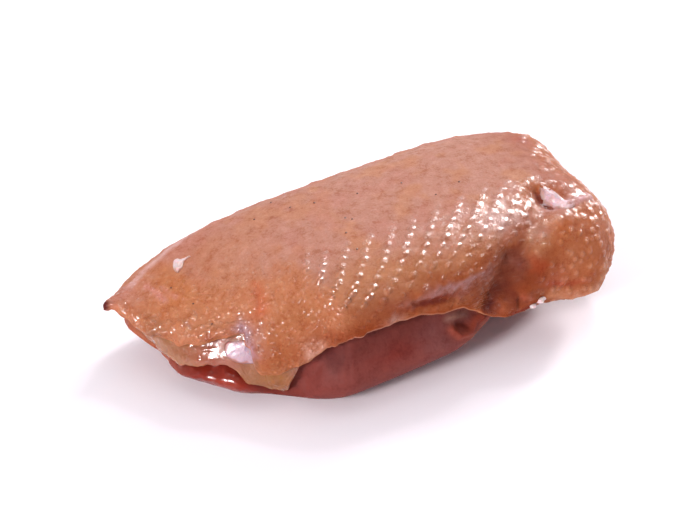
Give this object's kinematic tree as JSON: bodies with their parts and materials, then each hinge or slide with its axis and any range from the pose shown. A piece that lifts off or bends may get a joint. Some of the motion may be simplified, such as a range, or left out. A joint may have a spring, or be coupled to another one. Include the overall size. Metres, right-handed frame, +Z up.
{
  "type": "whole smoked duck breast",
  "caption": "Whole smoked duck breast lying on its meat: a long rounded loaf of dark meat under a layer of fat, with the pored skin draped over it, pointed at one end.",
  "frame": {"origin": "middle of the footprint, on the surface that the breast lies on", "axes": "+X along the breast from its thin pointed end to its thick blunt end, +Z up through the skin, -Y towards the side where the meat shows below the skin"},
  "size_m": [0.1502, 0.0722, 0.0454],
  "materials": {
    "skin": "oily smoked poultry skin, pink-brown on top and orange-brown low down, glossy, with rows of feather follicles",
    "fat": "moist, slightly translucent yellow to pinkish fat",
    "meat": "smooth dark red-brown cured meat, slightly moist"
  },
  "bodies": {
    "root": {"skin": "skin", "fat": "fat", "meat": "meat"}
  },
  "joints": []
}
